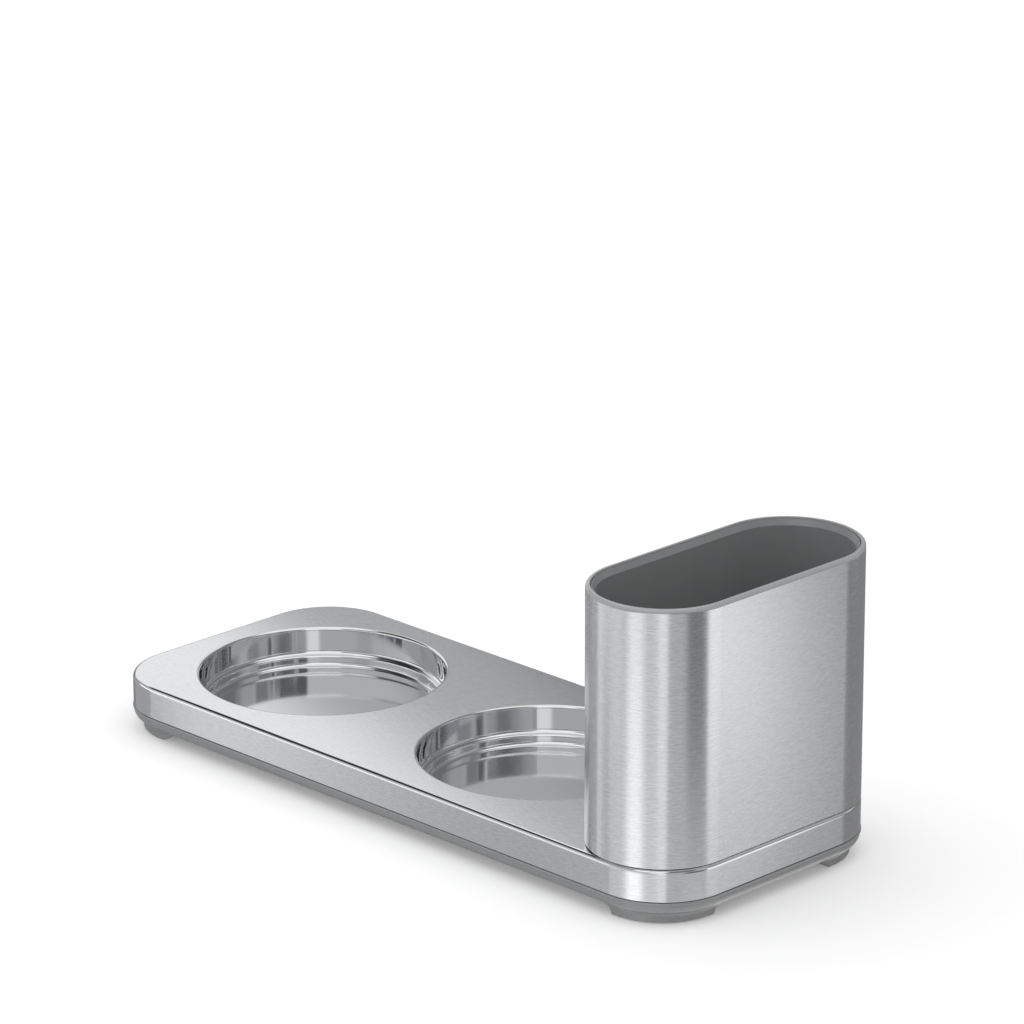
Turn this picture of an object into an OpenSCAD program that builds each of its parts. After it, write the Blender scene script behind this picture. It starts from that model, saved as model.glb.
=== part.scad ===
// Countertop caddy for two round pump bottles, with a tall holder for sponges and brushes.
// The origin is at the centre of the base, on the surface that it stands on.
// +X runs from the wells to the holder, -Y is the front and +Z is up. Millimetres.

/* [Base] */
// Radius of the base's corners in plan, and of the holder's round ends
corner_r = 24.6; // [20:0.2:30]
// Height of the steel band below the deck
band_h = 10.8; // [10:0.2:16]
// Height of the moulded tray that shows below the band
tray_h = 5; // [4.8:0.2:8]
// Clear height under the tray, between the feet
foot_h = 3.6; // [3.2:0.2:8]
// Thickness of the steel sheet
sheet_t = 0.8; // [0.6:0.1:1.1]
// Radius of the deck's polished outer edge
edge_r = 1.5; // [1.3:0.1:2.4]
// Thickness of the tray's floor
tray_t = 2; // [1.6:0.1:2.6]

/* [Wells] */
// Outer radius of a well's polished lip
well_r = 43; // [36:0.5:52]
// Deck left in front of the wells and behind them
side_margin = 10.2; // [9:0.1:14]
// Deck left between the base's left end and the first well
end_margin = 9.8; // [9:0.1:14]
// Deck left between the two wells
well_land = 21; // [14:0.5:30]
// Deck left between the second well and the holder
holder_land = 13; // [9:0.5:24]
// Radius of the rolled lip
lip_r = 1; // [0.8:0.1:1.4]
// Thickness of the drawn cups
cup_t = 0.5; // [0.4:0.05:0.7]
// Height of the step above the floor of a well
step_h = 3.4; // [3:0.1:4.5]
// How far the lower wall lies inside the upper one
step_w = 2.2; // [2:0.1:4]
// Radius where the upper wall turns into the step
step_fillet_r = 1.4; // [0.8:0.1:1.4]
// Radius of the step's inner edge
step_edge_r = 0.8; // [0.8:0.1:1]
// Radius where the lower wall turns into the floor
floor_fillet_r = 1.2; // [0.6:0.1:1.6]

/* [Holder] */
// Height of the holder's rim above the deck
holder_h = 86.4; // [60:0.2:140]
// Outer radius of the moulded rim, and the height by which it tops the steel
rim_r = 1.2; // [1:0.1:1.4]
// Width of the rim, from the steel's outer face to the liner's groove
rim_w = 1.6; // [1.5:0.1:1.8]
// Height of the rim's skirt inside the sleeve
rim_skirt_h = 9; // [6:0.5:14]
// Thickness of the liner's wall
liner_t = 0.75; // [0.6:0.05:1]
// How much narrower the liner is at its foot, each side
liner_draft = 1; // [0:0.1:2]
// Outer radius of the liner's bottom edge
liner_foot_r = 5; // [3:0.5:8]
// Depth of the bevel inside the liner's mouth
mouth_h = 1.8; // [1.7:0.1:2.8]

/* [Feet] */
// Radius of the curve under the tray's edge
tray_round_r = 4; // [3:0.1:4.2]
// Radius of the scoop between the tray's edge and a foot
foot_scoop_r = 2.4; // [1.6:0.1:3]
// How far a foot runs on past its corner's curve
foot_run_on = 1.5; // [0:0.1:4]
// Radius of the flare at each end of a foot
foot_flare_r = 6; // [5:0.1:8]
// Width of an anti-slip pad
pad_w = 4; // [3:0.1:4.8]
// Angle that a pad spans along its foot
pad_angle = 62; // [40:1:66]

/* [Hidden] */
$fn = 96;

// Overrun of every cut
cut = 1;
// Clearance of a piece that is glued or pressed in place
fit = 0.05;
// Clearance round a piece that lifts out, and under it at rest
lift_gap = 0.25;
rest_gap = 0.3;

// Base: its size follows from the wells, the deck left round them and the holder's width
base_depth = 2 * (well_r + side_margin);
well_pitch = 2 * well_r + well_land;
base_length = end_margin + 2 * well_r + well_pitch + holder_land + 2 * corner_r;

// Half lengths of the straight stretches between the corners' axes
run_x = base_length / 2 - corner_r;
run_y = base_depth / 2 - corner_r;

// Levels, from the surface upwards
pad_proud = 0.2;
foot_z = pad_proud;
tray_z = foot_h;
floor_z = tray_z + tray_t;
band_z = tray_z + tray_h;
deck_z = band_z + band_h;
under_z = deck_z - sheet_t;

// Wells: the cups' floors lie just above the tray's
cup_gap = 0.3;
cup_seal_t = 0.5;
cup_seal_w = 2;
cup_seal_margin = 0.5;
flange_w = 2.8;
cup_seal_r = well_r + flange_w - cup_seal_margin;
well_d = deck_z - floor_z - cup_gap - cup_t;
wall_r = well_r - lip_r;
lower_r = wall_r - step_w;
step_z = step_h - well_d;
flange_z = under_z - cup_seal_t - cup_t;
well_x = [end_margin + well_r - base_length / 2,
          end_margin + well_r + well_pitch - base_length / 2];

// Tray: the tongue inside the band, the bead at the seam and the inner features
tongue_t = 1.6;
tongue_gap = 0.3;
tongue_drop = 1.5;
seam_gap = 0.25;
bead_r = 0.45;
bead_proud = 0.25;
tongue_r = corner_r - sheet_t - tongue_gap;
cavity_r = tongue_r - tongue_t;
cavity_fillet_r = 1.4;
ring_t = 1.7;
ring_r = well_r + lift_gap;
rib_t = 1.4;
rib_h = 3.4;
rib_y = 22;

// Feet: a scoop carries the tray's curve down to each foot
foot_join_angle = 62;
foot_blend = 0.04;
foot_edge_r = 0.4;
flare_rise = 0.3;
foot_join_inset = tray_round_r * (1 - cos(foot_join_angle));
foot_join_z = tray_z + tray_round_r * (1 - sin(foot_join_angle));
scoop_r = corner_r - foot_join_inset + (foot_scoop_r - foot_blend) * cos(foot_join_angle);
scoop_z = foot_join_z - (foot_scoop_r - foot_blend) * sin(foot_join_angle);
foot_r = scoop_r - foot_scoop_r;
flare_z = foot_join_z + flare_rise - foot_flare_r;
flare_run = sqrt(pow(foot_flare_r, 2) - pow(max(0, foot_z - flare_z), 2));
core_wall_t = 2;
core_ring_gap = 1;
core_z = foot_z + tray_t;

// Pads: bowed strips let into the feet
pad_t = 1.2;
pad_fit = 0.1;
pad_margin = 1.1;
pad_mid_r = foot_r - pad_margin - pad_w / 2;

// Screws, their bosses and the posts under the deck
screw_r = 1.45;
screw_hole_r = 1.7;
post_bore_r = 1.5;
head_r = 2.8;
head_h = 1.8;
head_hole_r = 3.1;
hex_r = 1.15;
hex_d = 1;
boss_r = 4.3;
boss_h = 3.8;
head_recess = 2.8;
post_r = 2.5;
pad_wall_t = 0.8;
post_bore_d = 6;
post_z = floor_z + boss_h;
seat_z = tray_z + head_recess;
tray_screw_l = 8;
post_offset = (pad_mid_r - pad_w / 2 - pad_fit - pad_wall_t - head_hole_r) * cos(45);
post_x = run_x + post_offset;
post_y = run_y + post_offset;
mid_x = (well_x[0] + well_x[1]) / 2;
post_places = [[-post_x, -post_y], [-post_x, post_y], [mid_x, -post_y], [mid_x, post_y],
               [post_x, -post_y], [post_x, post_y]];

// Holder: a sleeve with an inturned foot, clamped to the deck by the moulded base inside it
hold_x = run_x;
holder_seal_t = 0.4;
holder_seal_w = 3;
holder_seal_in = edge_r + fit;
sleeve_foot_w = 5.5;
sleeve_edge_r = 0.25;
sleeve_z = deck_z + holder_seal_t;
rim_z = deck_z + holder_h;
sleeve_top_z = rim_z - rim_r;
plate_z = sleeve_z + sheet_t;
plate_t = 2;
plate_wall_t = 1.5;
plate_wall_h = 11;
holder_boss_r = 3.6;
holder_boss_h = 6.2;
holder_screw_l = 7;
holder_bore_d = 7;
holder_rib_t = 1.4;
holder_screw_x_share = 0.4;
holder_screw_y_share = 0.42;
holder_screw_places = [for (x = [-1, 1], y = [-1, 1])
    [hold_x + x * holder_screw_x_share * corner_r, y * holder_screw_y_share * base_depth / 2]];

// Liner: its lip hangs in the rim's rebate
lip_drop = 0.6;
lip_t = 1.6;
lip_flat = 0.3;
lip_seat = 0.4;
lip_z = rim_z - lip_drop;
ledge_z = lip_z - lip_t - rest_gap;
lip_out_r = corner_r - rim_w - lift_gap;
ledge_r = lip_out_r - lip_seat;
liner_r = ledge_r - lift_gap;
liner_clear = 1.2;
liner_z = plate_z + plate_t + holder_boss_h + liner_clear;
liner_h = lip_z - lip_t - liner_z;
draft_angle = atan(liner_draft / liner_h);

// Carries a profile round a rounded rectangle: x is measured outwards from the corners' axes
module carry(run_x, run_y) {
    for (q = [0:3])
        translate([(q == 0 || q == 3 ? 1 : -1) * run_x, (q < 2 ? 1 : -1) * run_y, 0])
            rotate([0, 0, 90 * q])
                rotate_extrude(angle = 90) children();
    for (a = [0, 180])
        rotate([0, 0, a]) {
            if (run_x > 0)
                translate([-run_x, run_y, 0])
                    rotate([90, 0, 90]) linear_extrude(2 * run_x) children();
            translate([run_x, run_y, 0])
                rotate([90, 0, 0]) linear_extrude(2 * run_y) children();
        }
}

// The same for a profile that reaches the axes, filled between them from z to z + h
module slab(run_x, run_y, z, h) {
    carry(run_x, run_y) children();
    if (run_x > 0)
        translate([-run_x, -run_y, z]) cube([2 * run_x, 2 * run_y, h]);
}

// Profile of a plate of radius r from z to z + h, its upper outer edge rounded by e
module edge_profile(r, z, h, e) {
    translate([0, z]) square([r, h - e]);
    translate([0, z]) square([r - e, h]);
    translate([r - e, z + h - e]) circle(e);
}

// Profile of a hollow of radius r from z up to z + h, its lower outer edge rounded by e
module hollow_profile(r, z, h, e) {
    translate([0, z + e]) square([r, h - e]);
    translate([0, z]) square([r - e, h]);
    translate([r - e, z + e]) circle(e);
}

// Deck: pressed sheet with a skirt, two open wells and holes for the holder's screws
module deck_cover() {
    color("silver") difference() {
        slab(run_x, run_y, band_z, band_h)
            edge_profile(corner_r, band_z, band_h, edge_r);
        slab(run_x, run_y, band_z - cut, band_h - sheet_t + cut)
            edge_profile(corner_r - sheet_t, band_z - cut, band_h - sheet_t + cut, edge_r - sheet_t);
        for (x = well_x)
            translate([x, 0, band_z]) cylinder(r = well_r + fit, h = band_h + cut);
        for (p = holder_screw_places)
            translate([p[0], p[1], band_z]) cylinder(r = screw_hole_r, h = band_h + cut);
    }
}

// Hollow of a well below the deck's face, grown outwards by the sheet's thickness t
module well_hollow(t) {
    translate([0, -well_d + step_h + step_fillet_r])
        square([wall_r + t, well_d - step_h - step_fillet_r + cut]);
    translate([0, step_z - t]) square([wall_r - step_fillet_r, step_fillet_r + t + cut]);
    intersection() {
        translate([wall_r - step_fillet_r, step_z + step_fillet_r]) circle(step_fillet_r + t);
        translate([wall_r - step_fillet_r, step_z - t]) square([step_fillet_r + t, step_fillet_r + t]);
    }
    translate([0, floor_fillet_r - well_d])
        square([lower_r + t, step_h - floor_fillet_r - t]);
    difference() {
        translate([lower_r, step_z - step_edge_r]) square([step_edge_r, step_edge_r - t]);
        translate([lower_r + step_edge_r, step_z - step_edge_r]) circle(step_edge_r - t);
        if (t > 0)
            translate([lower_r, step_z - step_edge_r]) square([t, step_edge_r]);
    }
    translate([0, -well_d - t]) square([lower_r - floor_fillet_r, floor_fillet_r + t + cut]);
    intersection() {
        translate([lower_r - floor_fillet_r, floor_fillet_r - well_d]) circle(floor_fillet_r + t);
        translate([lower_r - floor_fillet_r, -well_d - t])
            square([floor_fillet_r + t, floor_fillet_r + t]);
    }
}

// Drawn cup: rolled lip flush with the deck, stepped wall, flat floor, flange under the deck
module well_cup(x) {
    color("gainsboro") translate([x, 0, deck_z]) rotate_extrude() difference() {
        union() {
            intersection() {
                well_hollow(cup_t);
                translate([0, -well_d - cup_t]) square([well_r, well_d + cup_t - lip_r]);
            }
            translate([0, flange_z - deck_z]) square([well_r + flange_w, cup_t]);
            translate([0, flange_z - deck_z]) square([well_r, deck_z - flange_z - lip_r]);
            intersection() {
                translate([well_r, -lip_r]) circle(lip_r);
                translate([wall_r, -lip_r]) square([lip_r, lip_r]);
            }
        }
        difference() {
            well_hollow(0);
            translate([0, -lip_r]) square([well_r, lip_r + cut]);
        }
        translate([0, -lip_r]) square([wall_r, lip_r + cut]);
    }
}

// Foam ring between a cup's flange and the deck
module cup_seal(x) {
    color("dimgray") translate([x, 0, under_z - cup_seal_t]) difference() {
        cylinder(r = cup_seal_r, h = cup_seal_t);
        translate([0, 0, -cut])
            cylinder(r = cup_seal_r - cup_seal_w, h = cup_seal_t + 2 * cut);
    }
}

// Profile of the tray: a bead at the seam, a short wall and the curve under its edge
module tray_profile() {
    translate([0, tray_z + tray_round_r])
        square([corner_r, tray_h - tray_round_r - seam_gap - bead_r]);
    translate([0, tray_z + tray_round_r])
        square([corner_r + bead_proud - bead_r, tray_h - tray_round_r - seam_gap]);
    translate([corner_r + bead_proud - bead_r, band_z - seam_gap - bead_r]) circle(bead_r);
    translate([0, tray_z]) square([corner_r - tray_round_r, tray_round_r]);
    intersection() {
        translate([corner_r - tray_round_r, tray_z + tray_round_r]) circle(tray_round_r);
        translate([corner_r - tray_round_r, tray_z]) square(tray_round_r);
    }
}

// Profile of a foot: the scoop from the tray's curve, then a short upright wall
module foot_profile() {
    difference() {
        polygon([[0, foot_z + foot_edge_r], [foot_r, foot_z + foot_edge_r], [foot_r, scoop_z],
                 [corner_r - foot_join_inset, foot_join_z], [0, foot_join_z]]);
        translate([scoop_r, scoop_z]) circle(foot_scoop_r);
    }
    translate([0, foot_z]) square([foot_r - foot_edge_r, foot_edge_r + cut]);
    translate([foot_r - foot_edge_r, foot_z + foot_edge_r]) circle(foot_edge_r);
}

// Opening between two feet, flared at both ends: run is half the distance between the feet
module arch(run, reach) {
    rotate([90, 0, 0]) linear_extrude(2 * reach, center = true) {
        translate([-run + flare_run, flare_z]) square([2 * (run - flare_run), foot_flare_r]);
        translate([-run + flare_run - foot_flare_r, flare_z - base_depth])
            square([2 * (run - flare_run + foot_flare_r), base_depth]);
        for (s = [-1, 1])
            translate([s * (run - flare_run), flare_z]) circle(foot_flare_r);
    }
}

// Bowed strip along a foot, centred on its corner's axis: the pad, or the recess for it
module pad_strip(grow, z, h) {
    turn = 45 - pad_angle / 2;
    translate([0, 0, z]) rotate([0, 0, turn]) {
        rotate_extrude(angle = pad_angle)
            translate([pad_mid_r - pad_w / 2 - grow, 0]) square([pad_w + 2 * grow, h]);
        for (a = [0, pad_angle])
            rotate([0, 0, a]) translate([pad_mid_r, 0, 0]) cylinder(r = pad_w / 2 + grow, h = h);
    }
}

// Place at the corner on side sx, sy, turned so that the foot points outwards
module at_corner(sx, sy) {
    translate([sx * run_x, sy * run_y, 0])
        rotate([0, 0, sx > 0 ? (sy > 0 ? 0 : -90) : (sy > 0 ? 90 : 180)]) children();
}

// Core of a foot, open to the tray's hollow, so that the foot's walls are no thicker than the rest
module foot_core() {
    translate([0, 0, core_z]) intersection() {
        cylinder(r = foot_r - core_wall_t, h = floor_z - core_z + cut);
        translate([core_wall_t, core_wall_t, 0]) cube([foot_r, foot_r, floor_z - core_z + cut]);
    }
}

// Outer form of the tray with its four feet, its hollow and the tongue inside the band
module tray_shell() {
    difference() {
        union() {
            slab(run_x, run_y, tray_z, tray_h - seam_gap) tray_profile();
            difference() {
                slab(run_x, run_y, foot_z, foot_join_z - foot_z) foot_profile();
                arch(run_x - foot_run_on, base_depth);
                rotate([0, 0, 90]) arch(run_y - foot_run_on, base_length);
            }
            slab(run_x, run_y, tray_z + tray_h / 2, under_z - tongue_drop - tray_z - tray_h / 2)
                translate([0, tray_z + tray_h / 2])
                    square([tongue_r, under_z - tongue_drop - tray_z - tray_h / 2]);
        }
        slab(run_x, run_y, floor_z, deck_z - floor_z)
            hollow_profile(cavity_r, floor_z, deck_z - floor_z, cavity_fillet_r);
        difference() {
            for (sx = [-1, 1], sy = [-1, 1])
                at_corner(sx, sy) foot_core();
            for (x = well_x)
                translate([x, 0, 0]) cylinder(r = ring_r + ring_t + core_ring_gap, h = deck_z);
        }
    }
}

// Stiffening ribs on the tray's floor, left out inside the cup rings
module tray_ribs() {
    rib_run_x = run_x + cavity_r + tongue_t / 2;
    rib_run_y = run_y + cavity_r + tongue_t / 2;
    difference() {
        union() {
            for (y = [-rib_y, 0, rib_y])
                translate([-rib_run_x, y - rib_t / 2, floor_z])
                    cube([2 * rib_run_x, rib_t, rib_h]);
            for (x = [mid_x, hold_x])
                translate([x - rib_t / 2, -rib_run_y, floor_z])
                    cube([rib_t, 2 * rib_run_y, rib_h]);
        }
        for (x = well_x)
            translate([x, 0, floor_z - cut])
                cylinder(r = ring_r + ring_t / 2, h = rib_h + 2 * cut);
    }
}

// Under-tray: moulded shell, cup rings, ribs, screw bosses, corner feet with recesses for pads
module base_tray() {
    color("gray") difference() {
        union() {
            tray_shell();
            tray_ribs();
            for (x = well_x)
                translate([x, 0, floor_z]) difference() {
                    cylinder(r = ring_r + ring_t, h = flange_z - floor_z);
                    translate([0, 0, -cut]) cylinder(r = ring_r, h = flange_z - floor_z + 2 * cut);
                }
            for (p = post_places)
                translate([p[0], p[1], floor_z - tray_t / 2])
                    cylinder(r = boss_r, h = boss_h + tray_t / 2);
            for (sx = [-1, 1], sy = [-1, 1])
                translate([sx * post_x, sy * post_y, core_z - tray_t / 2])
                    cylinder(r = boss_r, h = post_z - core_z + tray_t / 2);
        }
        for (p = post_places)
            translate([p[0], p[1], 0]) {
                cylinder(r = head_hole_r, h = seat_z);
                cylinder(r = screw_hole_r, h = post_z + cut);
            }
        for (sx = [-1, 1], sy = [-1, 1])
            at_corner(sx, sy) pad_strip(pad_fit, 0, pad_t);
    }
}

// Threaded posts welded under the deck
module deck_posts() {
    color("darkgray") for (p = post_places)
        translate([p[0], p[1], post_z]) difference() {
            cylinder(r = post_r, h = under_z - post_z);
            translate([0, 0, -cut]) cylinder(r = post_bore_r, h = post_bore_d + cut);
        }
}

// Socket-head screw, head down, its head's bearing face at z = 0
module screw(l) {
    difference() {
        union() {
            translate([0, 0, -head_h]) cylinder(r = head_r, h = head_h);
            cylinder(r = screw_r, h = l);
        }
        translate([0, 0, -head_h - cut]) cylinder(r = hex_r, h = hex_d + cut, $fn = 6);
    }
}

// Screws that hold the tray to the posts
module tray_screws() {
    color("darkgray") for (p = post_places)
        translate([p[0], p[1], seat_z]) screw(tray_screw_l);
}

// Brushed sleeve of the holder, with an inturned foot
module holder_sleeve() {
    wall_h = sleeve_top_z - sleeve_z;
    color("silver") translate([hold_x, 0, sleeve_z]) carry(0, run_y) difference() {
        union() {
            translate([corner_r - sleeve_foot_w, 0])
                square([sleeve_foot_w - sleeve_edge_r, wall_h]);
            translate([corner_r - sleeve_foot_w, sleeve_edge_r])
                square([sleeve_foot_w, wall_h - 2 * sleeve_edge_r]);
            for (z = [sleeve_edge_r, wall_h - sleeve_edge_r])
                translate([corner_r - sleeve_edge_r, z]) circle(sleeve_edge_r);
        }
        translate([0, sheet_t]) square([corner_r - sheet_t, wall_h]);
    }
}

// Foam ring under the sleeve
module holder_seal() {
    color("dimgray") translate([hold_x, 0, deck_z]) carry(0, run_y)
        translate([corner_r - holder_seal_in - holder_seal_w, 0])
            square([holder_seal_w, holder_seal_t]);
}

// Moulded base inside the sleeve: it clamps the sleeve's foot and takes the holder's screws
module holder_base() {
    spigot_h = plate_z - deck_z;
    plate_r = corner_r - sheet_t - fit;
    color("gray") difference() {
        union() {
            translate([hold_x, 0, 0]) {
                carry(0, run_y) translate([0, deck_z])
                    square([corner_r - sleeve_foot_w - tongue_gap, spigot_h]);
                carry(0, run_y) translate([0, plate_z]) square([plate_r, plate_t]);
                carry(0, run_y) translate([plate_r - plate_wall_t, plate_z])
                    square([plate_wall_t, plate_wall_h]);
                translate([-holder_rib_t / 2, -run_y, plate_z])
                    cube([holder_rib_t, 2 * run_y, plate_t + holder_boss_h / 2]);
            }
            for (p = holder_screw_places)
                translate([p[0], p[1], plate_z]) cylinder(r = holder_boss_r, h = plate_t + holder_boss_h);
        }
        for (p = holder_screw_places)
            translate([p[0], p[1], deck_z - cut]) cylinder(r = post_bore_r, h = holder_bore_d + cut);
    }
}

// Screws that hold the holder's base down from under the deck
module holder_screws() {
    color("darkgray") for (p = holder_screw_places)
        translate([p[0], p[1], under_z]) screw(holder_screw_l);
}

// Moulded rim: rounded cap over the sleeve's edge, rebate for the liner's lip, skirt inside
module holder_rim() {
    color("darkgray") translate([hold_x, 0, 0]) carry(0, run_y) difference() {
        union() {
            intersection() {
                translate([corner_r - rim_r, sleeve_top_z]) circle(rim_r);
                translate([corner_r - rim_r, sleeve_top_z]) square(rim_r);
            }
            translate([ledge_r, sleeve_top_z]) square([corner_r - rim_r - ledge_r, rim_r]);
            translate([ledge_r, rim_z - rim_skirt_h])
                square([corner_r - sheet_t - fit - ledge_r, rim_skirt_h - rim_r]);
        }
        translate([0, ledge_z]) square([corner_r - rim_w, rim_z - ledge_z + cut]);
    }
}

// Profile of the liner's body, drawn in by t: drafted wall, rounded foot
module liner_profile(t, top_z) {
    r_foot = liner_r - liner_draft;
    foot = liner_foot_r - t;
    axis_z = liner_z + liner_foot_r;
    axis_r = r_foot + liner_foot_r * tan(draft_angle) - liner_foot_r / cos(draft_angle);
    polygon([[0, liner_z + t], [axis_r, liner_z + t],
             [axis_r + foot * cos(draft_angle), axis_z - foot * sin(draft_angle)],
             [r_foot - t / cos(draft_angle) + (top_z - liner_z) * tan(draft_angle), top_z],
             [0, top_z]]);
    translate([axis_r, axis_z]) circle(foot);
}

// Removable liner: a deep cup hung by its lip, with a bevelled mouth
module holder_liner() {
    mouth_r = lip_out_r - lip_flat;
    color("dimgray") translate([hold_x, 0, 0]) difference() {
        carry(0, run_y) {
            liner_profile(0, lip_z - lip_t);
            translate([0, lip_z - lip_t]) square([lip_out_r, lip_t]);
        }
        carry(0, run_y) {
            liner_profile(liner_t, lip_z - mouth_h);
            polygon([[0, lip_z - mouth_h - liner_t], [liner_r - liner_t, lip_z - mouth_h - liner_t],
                     [liner_r - liner_t, lip_z - mouth_h], [mouth_r, lip_z],
                     [mouth_r, lip_z + cut], [0, lip_z + cut]]);
        }
    }
}

// Anti-slip pad of one foot
module foot_pad(sx, sy) {
    color("darkslategray") at_corner(sx, sy) pad_strip(0, 0, pad_t);
}

deck_cover();
well_cup(well_x[0]);  // left_well_cup
well_cup(well_x[1]);  // right_well_cup
cup_seal(well_x[0]);  // left_cup_seal
cup_seal(well_x[1]);  // right_cup_seal
base_tray();
deck_posts();
tray_screws();
holder_sleeve();
holder_seal();
holder_base();
holder_screws();
holder_rim();
holder_liner();
foot_pad(-1, -1);  // front_left_pad
foot_pad(1, -1);  // front_right_pad
foot_pad(-1, 1);  // rear_left_pad
foot_pad(1, 1);  // rear_right_pad
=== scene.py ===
"""Looks of the pump caddy: brushed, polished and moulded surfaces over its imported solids.
Lengths are in metres, in the solids' frame: +X from the wells to the holder, -Y in front, +Z up."""

import math

import bmesh
import bpy
from mathutils import Matrix, Vector


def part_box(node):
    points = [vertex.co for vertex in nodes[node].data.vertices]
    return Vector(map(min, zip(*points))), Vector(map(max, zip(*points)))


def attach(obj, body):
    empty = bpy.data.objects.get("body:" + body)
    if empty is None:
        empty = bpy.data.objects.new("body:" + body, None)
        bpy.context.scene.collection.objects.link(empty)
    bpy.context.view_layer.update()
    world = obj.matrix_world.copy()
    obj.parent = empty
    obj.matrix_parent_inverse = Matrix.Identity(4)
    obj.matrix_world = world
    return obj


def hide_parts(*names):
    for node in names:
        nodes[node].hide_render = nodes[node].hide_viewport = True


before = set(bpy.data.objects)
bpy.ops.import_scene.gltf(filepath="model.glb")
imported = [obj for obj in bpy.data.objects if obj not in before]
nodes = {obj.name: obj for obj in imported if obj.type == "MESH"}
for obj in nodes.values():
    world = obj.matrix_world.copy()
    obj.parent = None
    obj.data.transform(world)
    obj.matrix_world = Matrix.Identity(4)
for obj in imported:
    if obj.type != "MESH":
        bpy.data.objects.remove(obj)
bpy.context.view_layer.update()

mm = 0.001

# Sizes read from the solids
deck_low, deck_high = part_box("deck_cover")
cup_low, cup_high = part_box("left_well_cup")
sleeve_low, sleeve_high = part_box("holder_sleeve")
rim_low, rim_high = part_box("holder_rim")
liner_low, liner_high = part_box("holder_liner")
deck_z = deck_high.z
band_z = deck_low.z
hold_x = (sleeve_low.x + sleeve_high.x) / 2
corner_r = sleeve_high.x - hold_x
run_x = deck_high.x - corner_r
run_y = deck_high.y - corner_r
well_names = ("left_well_cup", "right_well_cup")
well_xs = [(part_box(n)[0].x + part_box(n)[1].x) / 2 for n in well_names]

# Steel sheet, as in the solids
sheet_t = 0.8 * mm
deck_edge_r = 1.5 * mm
hem_r = 0.2 * mm
seat_gap = 0.05 * mm

# Cups
cup_t = 0.5 * mm
flange_w = 2.8 * mm
flange_top = 1.3 * mm
lip_r = 1.0 * mm
step_h = 3.4 * mm
step_w = 2.2 * mm
step_fillet_r = 1.4 * mm
step_edge_r = 0.8 * mm
floor_fillet_r = 1.2 * mm
wall_draft = math.radians(1.5)
well_r = (cup_high.x - cup_low.x) / 2 - flange_w
floor_z = cup_low.z + cup_t

# Holder. The liner's wall clears the rim by the lift gap, and its lip reaches past that by its seat.
sleeve_foot_w = 5.5 * mm
sleeve_edge_r = 0.25 * mm
rim_r = 1.2 * mm
rim_w = 1.6 * mm
rim_inner_edge_r = 0.25 * mm
ledge_drop = 2.5 * mm
lift_gap = 0.25 * mm
liner_t = 0.75 * mm
liner_draft = 1.0 * mm
liner_foot_r = 5.0 * mm
lip_t = 1.6 * mm
lip_flat = 0.3 * mm
lip_seat = 0.4 * mm
lip_edge_r = 0.12 * mm
mouth_h = 1.8 * mm
lip_out_r = liner_high.x - hold_x
liner_r = lip_out_r - lip_seat - lift_gap

# Holes in the deck for the holder's screws, and the reach of their axes from the holder's middle
deck_screw_r = 1.7 * mm
screw_head_r = 2.8 * mm
screws_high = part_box("holder_screws")[1]
screw_reach = Vector((screws_high.x - hold_x - screw_head_r, screws_high.y - screw_head_r))

# Fineness of the meshes
corner_steps = 40
well_hole_steps = 160
screw_hole_steps = 32
arc_steps = 7
sharp_angle = math.radians(28)
weld_gap = 0.002 * mm

# Colours: the shares of red, green and blue in the cool grey of the steel and the mouldings, and white
cool_shares = (0.989, 1.0, 1.021)
white = (1.0, 1.0, 1.0, 1.0)


# Short forms for node trees

def feed(tree, socket, value):
    """Links a socket to an input, or sets the input to a number."""
    if isinstance(value, bpy.types.NodeSocket):
        tree.links.new(value, socket)
    else:
        socket.default_value = value


def maths(tree, operation, *operands):
    """Output of a Math node. Each operand is a socket or a number."""
    node = tree.nodes.new("ShaderNodeMath")
    node.operation = operation
    for socket, value in zip(node.inputs, operands):
        feed(tree, socket, value)
    return node.outputs[0]


def remap(tree, value, low, high, to_low=0.0, to_high=1.0):
    """Output of a smooth Map Range node that takes low..high to to_low..to_high."""
    node = tree.nodes.new("ShaderNodeMapRange")
    node.interpolation_type = "SMOOTHSTEP"
    for name, given in (("Value", value), ("From Min", low), ("From Max", high),
                        ("To Min", to_low), ("To Max", to_high)):
        feed(tree, node.inputs[name], given)
    return node.outputs["Result"]


def blend(tree, factor, first, second):
    """Numbers or sockets mixed by a factor."""
    node = tree.nodes.new("ShaderNodeMix")
    node.data_type = "FLOAT"
    factor_in, first_in, second_in = node.inputs[0], node.inputs[2], node.inputs[3]
    feed(tree, factor_in, factor)
    feed(tree, first_in, first)
    feed(tree, second_in, second)
    return node.outputs[0]


def blend_colours(tree, factor, first, second):
    """Two plain colours mixed by a factor."""
    node = tree.nodes.new("ShaderNodeMix")
    node.data_type = "RGBA"
    factor_in, first_in, second_in = node.inputs[0], node.inputs[6], node.inputs[7]
    feed(tree, factor_in, factor)
    feed(tree, first_in, first)
    feed(tree, second_in, second)
    return node.outputs[2]


def varied(tree, marks, middle, spread):
    """A value that marks from 0 to 1 move by half the spread to either side of the middle."""
    if isinstance(middle, bpy.types.NodeSocket):
        lowest = maths(tree, "SUBTRACT", middle, spread / 2)
    else:
        lowest = middle - spread / 2
    return maths(tree, "MULTIPLY_ADD", marks, spread, lowest)


def cool_grey(level):
    """The cool grey as a colour."""
    return tuple(level * share for share in cool_shares) + (1.0,)


def cool_grey_socket(tree, level):
    """The cool grey as a colour socket, from a number socket."""
    colour = tree.nodes.new("ShaderNodeCombineColor")
    for channel, share in zip(("Red", "Green", "Blue"), cool_shares):
        tree.links.new(maths(tree, "MULTIPLY", level, share), colour.inputs[channel])
    return colour.outputs[0]


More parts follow.
